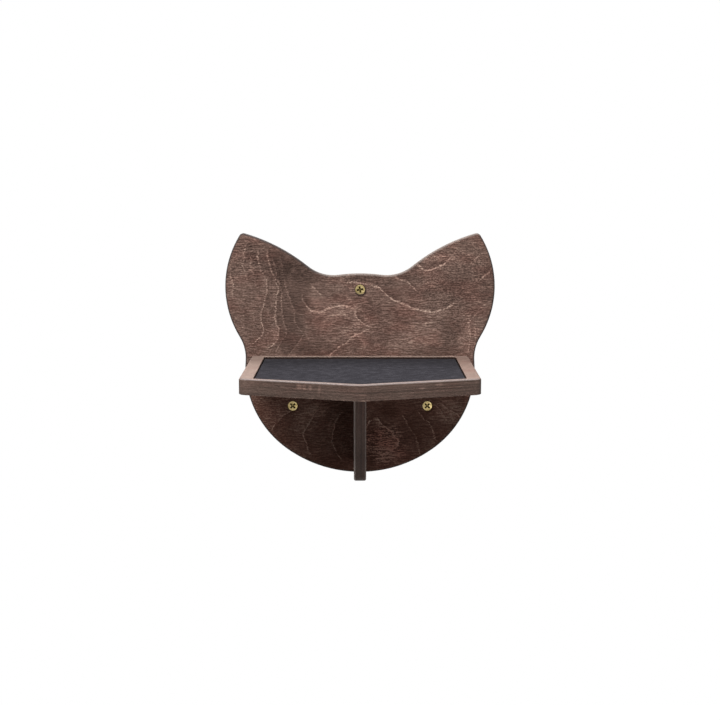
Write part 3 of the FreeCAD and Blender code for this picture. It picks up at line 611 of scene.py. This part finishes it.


# Support bracket
# An upright plywood web under the middle of the shelf, glued and screwed to the backboard and the shelf.
# Its front shows the layers on edge as fine upright lines under a painted greyish sheen, with painted highlights on
# its corners, the left one brighter.

bracket_low, bracket_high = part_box("support_bracket")
BRACKET_THICKNESS, BRACKET_PLIES = bracket_high.x - bracket_low.x, 9
bracket_wood = Plywood("stained_bracket", "Y", "Z", "X", bracket_low.x, 1, BRACKET_THICKNESS, BRACKET_PLIES)
wood = bracket_wood.tree
pores, streaks, flecks = bracket_wood.grain()
cloud_wide, cloud_red = bracket_wood.clouds()
from_right = calc(wood, "SUBTRACT", BRACKET_THICKNESS, bracket_wood.deep)
# painted highlights on the rounded front corners, brighter on the left
left_edge_highlight, right_edge_highlight = [
    calc(wood, "MULTIPLY", rise(wood, side, 0.02 * MM, 0.08 * MM), rise(wood, side, 1.7 * MM, 1.0 * MM))
    for side in (bracket_wood.deep, from_right)
]
face_share = rise(wood, bracket_wood.edge, 0.0, 1.0, 1.0, 0.3)
bracket_tone = total(
    wood,
    [
        (calc(wood, "MULTIPLY", pores, face_share), 0.10),
        (calc(wood, "MULTIPLY", streaks, face_share), 0.06),
        (calc(wood, "MULTIPLY", flecks, face_share), 0.05),
        (cloud_wide, 0.05),
        (calc(wood, "MULTIPLY", bracket_wood.figure(pores), face_share), 0.16),
        (bracket_wood.edge_lines(), 0.10),
        (uneven_layers(bracket_wood), 0.12),
        (bracket_wood.crossband, -0.06),
        (left_edge_highlight, 0.75),
        (right_edge_highlight, 0.24),
        (rise(wood, bracket_wood.across, -55 * MM, -90 * MM), -0.19),
    ],
)
bracket_tone = calc(wood, "ADD", bracket_tone, 0.50)
bracket_sheen_share = total(wood, [(left_edge_highlight, 0.50), (right_edge_highlight, 0.16), (1.0, 0.32)])
LAYER_SHEEN, CORNER_HIGHLIGHT = tint(104, 95, 92), tint(204, 190, 184)
bracket_sheen = blend(wood, rise(wood, bracket_sheen_share, 0.32, 0.60), LAYER_SHEEN, CORNER_HIGHLIGHT)
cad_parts["support_bracket"].data.materials[0] = bracket_wood.finish(
    bracket_tone, cloud_red, pores, specular=0.10, painted_light=bracket_sheen, painted_light_share=bracket_sheen_share
)


# Joint screws and wall screws
# Countersunk steel wood screws with a cross recess: six bright zinc ones hold the boards together from behind and
# from above, and three yellow ones, longer and thicker, go through the backboard into the wall.

# steps in a full turn; height of the head's rim in mm; core beside thread; floor of the cross beside its mouth
STEPS_ROUND, THREAD_STEPS = 48, 20
RIM_HEIGHT, CORE_SHARE, CROSS_TAPER = 0.3, 0.68, 0.78


def turn_profile(bm, profile):
    """Turns a chain of (radius, height) points in mm about the upright axis."""
    verts = [bm.verts.new((radius * MM, 0, height * MM)) for radius, height in profile]
    edges = [bm.edges.new(pair) for pair in zip(verts, verts[1:])]
    bmesh.ops.spin(
        bm,
        geom=verts + edges,
        cent=(0, 0, 0),
        axis=(0, 0, 1),
        angle=2 * math.pi,
        steps=STEPS_ROUND,
        use_merge=True,
    )
    bmesh.ops.remove_doubles(bm, verts=bm.verts, dist=0.002 * MM)


def cut_cross(bm, span, width, depth, sunk):
    """Fills the top of a head with a flat face round a cross recess whose walls slope in."""
    rim = [edge for edge in bm.edges if edge.is_boundary]
    arm, half = span / 2 * MM, width / 2 * MM
    corner_turns = [(half, half), (half, arm), (-half, arm)]
    outline = []
    for quarter in range(4):
        turn = Matrix.Rotation(quarter * math.pi / 2, 3, "Z")
        for x, y in corner_turns:
            outline.append(turn @ Vector((x, y, 0)))
    cross = [bm.verts.new(point) for point in outline]
    cross_edges = [bm.edges.new((cross[i - 1], cross[i])) for i in range(len(cross))]
    bmesh.ops.triangle_fill(bm, use_beauty=True, edges=rim + cross_edges)
    for face in bm.faces[:]:
        middle = face.calc_center_median()
        if min(abs(middle.x), abs(middle.y)) < half and all(v in cross for v in face.verts):
            bm.faces.remove(face)
    walls = bmesh.ops.extrude_edge_only(bm, edges=cross_edges)["geom"]
    floor_verts = [g for g in walls if isinstance(g, bmesh.types.BMVert)]
    floor_edges = [g for g in walls if isinstance(g, bmesh.types.BMEdge)]
    bmesh.ops.scale(bm, vec=(CROSS_TAPER, CROSS_TAPER, 1), verts=floor_verts)
    bmesh.ops.translate(bm, vec=(0, 0, -depth * MM), verts=floor_verts)
    floor = bmesh.ops.edgeloop_fill(bm, edges=[e for e in floor_edges if e.is_boundary])["faces"]
    for vert in floor_verts:
        vert[sunk] = 1.0
    for vert in bmesh.ops.poke(bm, faces=floor)["verts"]:
        vert[sunk] = 2.0


def wind_thread(bm, core, crest, start, end, pitch, point):
    """A thread's ridge, wound down a core from start to end, running out at the top and towards the point."""
    root = core - 0.15
    profile = [(root, start + 0.3 * pitch), (crest, start), (root, start - 0.3 * pitch)]
    verts = [bm.verts.new((radius * MM, 0, height * MM)) for radius, height in profile]
    edges = [bm.edges.new((verts[i - 1], verts[i])) for i in range(3)]
    bm.faces.new(verts)
    turns = (start - end) / pitch
    known = set(bm.verts)
    ends = bmesh.ops.spin(
        bm,
        geom=verts + edges,
        cent=(0, 0, 0),
        axis=(0, 0, 1),
        dvec=(0, 0, -pitch / THREAD_STEPS * MM),
        angle=2 * math.pi * turns,
        steps=round(turns * THREAD_STEPS),
    )["geom_last"]
    bm.faces.new([g for g in ends if isinstance(g, bmesh.types.BMVert)])
    for vert in [v for v in bm.verts if v not in known] + verts:
        height = vert.co.z / MM
        taper = min(1.0, (height - end) / point + 0.12, (start + 0.4 * pitch - height) / (2 * pitch) + 0.3)
        away = Vector((vert.co.x, vert.co.y, 0))
        wanted = 0.1 + (away.length / MM - 0.1) * max(0.0, taper) if height < end + point else away.length / MM
        if height > start - 2 * pitch and away.length / MM > core:
            wanted = core + (away.length / MM - core) * max(0.0, min(1.0, taper))
        away = away.normalized() * wanted * MM
        vert.co.x, vert.co.y = away.x, away.y


def make_screw(name, node, finish, sizes, place):
    """Models one screw with its head's face at the origin and its point down, then puts it where its node is."""
    head, neck, crest = sizes["head"] / 2, sizes["neck"] / 2, sizes["thread"] / 2
    core = crest * CORE_SHARE
    length, point = sizes["length"], sizes["point"]
    shoulder = RIM_HEIGHT + head - neck
    bm = bmesh.new()
    sunk = bm.verts.layers.float.new("sunk")
    turn_profile(
        bm,
        [
            (head - 0.22, 0.0),
            (head - 0.06, -0.05),
            (head, -0.16),
            (head, -RIM_HEIGHT),
            (neck + 0.25, -shoulder + 0.2),
            (neck, -shoulder - 0.35),
            (neck, -sizes["plain"] + 0.4),
            (core, -sizes["plain"]),
            (core, -length + point),
            (core * 0.5, -length + 0.42 * point),
            (0.0, -length),
        ],
    )
    cut_cross(bm, sizes["drive_span"], sizes["drive_width"], sizes["drive_depth"], sunk)
    wind_thread(bm, core, crest, -sizes["plain"] - 0.3 * sizes["pitch"], -length + 1.2, sizes["pitch"], point)
    bmesh.ops.recalc_face_normals(bm, faces=bm.faces)
    bmesh.ops.transform(bm, matrix=place, verts=bm.verts)
    mesh = bpy.data.meshes.new(name)
    bm.to_mesh(mesh)
    bm.free()
    mesh.shade_smooth()
    mesh.set_sharp_from_angle(angle=math.radians(32))
    mesh.materials.append(finish)
    screw = bpy.data.objects.new(name, mesh)
    bpy.context.scene.collection.objects.link(screw)
    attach(screw, "root")
    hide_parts(node)


def plated_steel(name, bright, dull, recess_shade):
    """Plated metal with a faint cloudiness and fine turning marks, and painted shade in the cross recess, lighter
    in its middle as painted light.
    """
    material, tree = new_surface(name)
    place = add_node(tree, "ShaderNodeTexCoord").outputs["Object"]
    cloud = speckle(tree, place, scale=420, detail=3)
    marks = speckle(tree, place, scale=3200, detail=2)
    sunk = add_node(tree, "ShaderNodeAttribute", attribute_name="sunk").outputs["Fac"]
    metal = blend(tree, rise(tree, cloud, 0.35, 0.65), bright, dull)
    recess_shade_share = calc(tree, "MULTIPLY", rise(tree, sunk, 0.02, 0.3), rise(tree, sunk, 1.9, 1.2, 0.6, 1.0))
    colour = blend(tree, recess_shade_share, metal, recess_shade)
    roughness = calc(tree, "ADD", rise(tree, cloud, 0.3, 0.7, 0.26, 0.40), calc(tree, "MULTIPLY", recess_shade_share, 0.3))
    finish_surface(tree, colour, roughness, marks, 0.02 * MM, Metallic=1.0)
    return material


# the last colour of each is the painted shade in the cross recess
ZINC = plated_steel("bright_zinc", tint(196, 198, 200), tint(172, 175, 180), tint(70, 70, 72))
YELLOW = plated_steel("yellow_plating", tint(169, 152, 110), tint(145, 127, 83), tint(52, 42, 12))
# sizes in mm: diameters, lengths from the head's face, and the cross recess
BACK_SCREW = dict(
    head=8.0,
    neck=2.9,
    thread=4.0,
    length=40.0,
    point=6.0,
    plain=11.8,
    pitch=2.0,
    drive_span=4.4,
    drive_width=1.3,
    drive_depth=1.4,
)
DECK_SCREW = {**BACK_SCREW, "length": 35.0, "plain": 9.8}
WALL_SCREW = dict(
    head=10.0,
    neck=3.6,
    thread=5.0,
    length=60.0,
    point=8.0,
    plain=11.8,
    pitch=2.5,
    drive_span=6.8,
    drive_width=1.8,
    drive_depth=1.8,
)
FACING_BACK = Matrix.Rotation(-math.pi / 2, 4, "X")
FACING_FRONT = Matrix.Rotation(math.pi / 2, 4, "X")


def head_place(node, side):
    """The middle of a screw's head, on the side of its node's box that the head faces."""
    low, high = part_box(node)
    spot = box_middle(node)
    if side == "front":
        spot.y = low.y
    elif side == "back":
        spot.y = high.y
    else:
        spot.z = high.z
    return Matrix.Translation(spot)


for node in ("shelf_screw_left", "shelf_screw_right", "bracket_screw_upper", "bracket_screw_lower"):
    make_screw(f"zinc_{node}", node, ZINC, BACK_SCREW, head_place(node, "back") @ FACING_BACK)
for node in ("deck_screw_rear", "deck_screw_front"):
    make_screw(f"zinc_{node}", node, ZINC, DECK_SCREW, head_place(node, "top"))
for node, turned in (("wall_screw_top", 10), ("wall_screw_left", 45), ("wall_screw_right", 45)):
    place = head_place(node, "front") @ FACING_FRONT @ Matrix.Rotation(math.radians(turned), 4, "Z")
    make_screw(f"yellow_{node}", node, YELLOW, WALL_SCREW, place)


# Dowels
# Short pins of raw beech with the fibres along them, glued into the backboard and into the back edge of the shelf,
# so that the shelf can't turn.

dowel_beech, wood = new_surface("raw_beech")
place = add_node(wood, "ShaderNodeTexCoord").outputs["Object"]
axes = add_node(wood, "ShaderNodeSeparateXYZ", {0: place}).outputs
fibre = speckle(wood, stretch(wood, axes["X"], axes["Y"], axes["Z"], (1500, 160, 1500)), detail=3)
PALE_BEECH, DARK_BEECH = tint(214, 178, 138), tint(186, 146, 106)
beech = blend(wood, rise(wood, fibre, 0.35, 0.65), PALE_BEECH, DARK_BEECH)
finish_surface(wood, beech, rise(wood, fibre, 0.3, 0.7, 0.6, 0.75), fibre, 0.08 * MM)
for side in ("left", "right"):
    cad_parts[f"shelf_dowel_{side}"].data.materials[0] = dowel_beech


# Felt pad
# A piece of charcoal needle felt, cut to the recess with a small gap and glued down flat.
# Its cut edge is soft and a little uneven, and the surface is mottled by the fibres.

# sizes in mm; the point and the corners are cut round, and the top is cut up finely enough to be made uneven
FELT_FLOOR, FELT_THICKNESS = felt_low.z / MM, (felt_high.z - felt_low.z) / MM
NOSE_RADIUS, CORNER_CUT, SOFT_EDGE, FELT_GRID = 12.0, 3.0, 0.7, 2.5
half_width = felt_high.x / MM
back = felt_high.y / MM
nose = felt_low.y / MM - NOSE_RADIUS * (math.sqrt(1 + SIDE_SLOPE**2) - 1)
shoulder = nose + half_width * SIDE_SLOPE
bm = bmesh.new()
corners = [(-half_width, back), (-half_width, shoulder), (0, nose), (half_width, shoulder), (half_width, back)]
verts = [bm.verts.new((x * MM, y * MM, (FELT_FLOOR + FELT_THICKNESS) * MM)) for x, y in corners]
bm.faces.new(verts)
NOSE_CUT = NOSE_RADIUS * SIDE_SLOPE
for picks, reach in ((verts[2:3], NOSE_CUT), ([v for v in verts if v is not verts[2]], CORNER_CUT)):
    bmesh.ops.bevel(
        bm,
        geom=picks,
        offset=reach * MM,
        offset_type="OFFSET",
        affect="VERTICES",
        segments=6,
        profile=0.5,
        material=-1,
    )
for direction, first, last in ((Vector((1, 0, 0)), -half_width, half_width), (Vector((0, 1, 0)), nose, back)):
    count = int((last - first) / FELT_GRID)
    for i in range(1, count):
        spot = first + (last - first) * i / count
        bmesh.ops.bisect_plane(
            bm,
            geom=bm.verts[:] + bm.edges[:] + bm.faces[:],
            dist=1e-6,
            plane_co=direction * (spot * MM),
            plane_no=direction,
        )
top = bm.faces[:]
sides = bmesh.ops.extrude_face_region(bm, geom=top)["geom"]
under = [g for g in sides if isinstance(g, bmesh.types.BMVert)]
bmesh.ops.translate(bm, verts=under, vec=(0, 0, -FELT_THICKNESS * MM))
bmesh.ops.recalc_face_normals(bm, faces=bm.faces)
just_below = (FELT_FLOOR + FELT_THICKNESS - 0.01) * MM
on_top = [e for e in bm.edges if all(v.co.z > just_below for v in e.verts)]
rim = [e for e in on_top if any(abs(f.normal.z) < 0.5 for f in e.link_faces)]
bmesh.ops.bevel(
    bm,
    geom=rim,
    offset=SOFT_EDGE * MM,
    offset_type="OFFSET",
    affect="EDGES",
    segments=3,
    profile=0.5,
    material=-1,
)
for vert in bm.verts:
    if vert.co.z > (FELT_FLOOR + 0.5 * FELT_THICKNESS) * MM:
        lump = noise.fractal(vert.co * 70, 1.0, 2.0, 3) * 0.14 + noise.noise(vert.co * 900) * 0.12
        vert.co.z = min(vert.co.z + (lump - 0.2) * MM, felt_high.z)
mesh = bpy.data.meshes.new("felt_insert")
bm.to_mesh(mesh)
bm.free()
mesh.shade_smooth()
felt = bpy.data.objects.new("felt_insert", mesh)
bpy.context.scene.collection.objects.link(felt)
felt_surface, tree = new_surface("charcoal_felt_fibres")
place = add_node(tree, "ShaderNodeTexCoord").outputs["Object"]
mottle = speckle(tree, place, scale=120, detail=5, roughness=0.7)
fibres = speckle(tree, place, scale=900, detail=4, roughness=0.75)
charcoal = shade(
    tree,
    total(tree, [(mottle, 0.42), (fibres, 0.58)]),
    [(0.3, tint(21, 20, 24)), (0.5, tint(46, 44, 49)), (0.7, tint(79, 77, 83))],
)
finish_surface(
    tree,
    charcoal,
    rise(tree, fibres, 0.3, 0.7, 0.88, 1.0),
    fibres,
    0.6 * MM,
    **{"Specular IOR Level": 0.0, "Sheen Weight": 0.03, "Sheen Roughness": 0.7},
)
mesh.materials.append(felt_surface)
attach(felt, "root")
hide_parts("felt_pad")


# Stage: floor, lights and camera
# A pale floor well below the object, soft light from above and a weak one from the front, and the camera where the
# photographer stood. Floor and sky are white to the camera and in metal, and light the object only a little.


def seen_or_mirrored(tree):
    """1 for what the camera sees, directly, in metal or through glass, and 0 for what only lights the object."""
    ray = add_node(tree, "ShaderNodeLightPath").outputs
    mirrored = calc(tree, "MAXIMUM", ray["Is Glossy Ray"], ray["Is Transmission Ray"])
    return calc(tree, "MAXIMUM", ray["Is Camera Ray"], mirrored)


FLOOR_REACH, FLOOR_DROP = 4.0, 2.0
floor_mesh = bpy.data.meshes.new("floor")
floor_bm = bmesh.new()
bmesh.ops.create_grid(floor_bm, x_segments=1, y_segments=1, size=FLOOR_REACH)
bmesh.ops.translate(floor_bm, verts=floor_bm.verts, vec=(0, 0, -FLOOR_DROP))
floor_bm.to_mesh(floor_mesh)
floor_bm.free()
floor = bpy.data.objects.new("floor", floor_mesh)
bpy.context.scene.collection.objects.link(floor)
floor_material, tree = new_surface("pale_floor")
paint = add_node(tree, "ShaderNodeBsdfDiffuse", {"Color": (0.8, 0.8, 0.8, 1.0)})
glow = add_node(tree, "ShaderNodeEmission", {"Strength": seen_or_mirrored(tree)})
lit = add_node(tree, "ShaderNodeAddShader", {0: paint.outputs[0], 1: glow.outputs[0]})
add_node(tree, "ShaderNodeOutputMaterial", {"Surface": lit.outputs[0]})
floor_mesh.materials.append(floor_material)

world = bpy.data.worlds.new("studio")
bpy.context.scene.world = world
world.use_nodes = True
tree = world.node_tree
tree.nodes.clear()
WHITE = (1.0, 1.0, 1.0, 1.0)
dim = add_node(tree, "ShaderNodeBackground", {"Color": WHITE, "Strength": 0.04})
white = add_node(tree, "ShaderNodeBackground", {"Color": WHITE, "Strength": 1.0})
sky = add_node(tree, "ShaderNodeMixShader", {0: seen_or_mirrored(tree), 1: dim.outputs[0], 2: white.outputs[0]})
add_node(tree, "ShaderNodeOutputWorld", {"Surface": sky.outputs[0]})


def soft_lamp(name, place, target, size, power):
    """A rectangular lamp, its place, target and size in metres and its power in watts."""
    data = bpy.data.lights.new(name, "AREA")
    data.shape = "RECTANGLE"
    data.size, data.size_y = size
    data.energy = power
    lamp = bpy.data.objects.new(name, data)
    lamp.location = place
    lamp.rotation_euler = (Vector(target) - Vector(place)).to_track_quat("-Z", "Y").to_euler()
    bpy.context.scene.collection.objects.link(lamp)


soft_lamp("high_front", (-0.25, -1.0, 1.23), (0, -0.06, 0.02), (1.2, 0.9), 34)
soft_lamp("high_back", (-0.1, 0.55, 1.05), (0, -0.16, 0.01), (0.9, 0.6), 16)
soft_lamp("front_fill", (0.50, -1.35, -0.22), (0, -0.05, -0.02), (0.7, 0.5), 2.2)

LENS, SENSOR_WIDTH = 67.5, 36.0
CAMERA_PLACE, CAMERA_TILT = (0, -1.3968, 0.1975), 82.2
camera_data = bpy.data.cameras.new("camera")
camera_data.lens = LENS
camera_data.sensor_width = SENSOR_WIDTH
camera = bpy.data.objects.new("camera", camera_data)
camera.location = CAMERA_PLACE
camera.rotation_euler = (math.radians(CAMERA_TILT), 0, 0)
bpy.context.scene.collection.objects.link(camera)
bpy.context.scene.camera = camera
bpy.context.scene.view_settings.view_transform = "Standard"
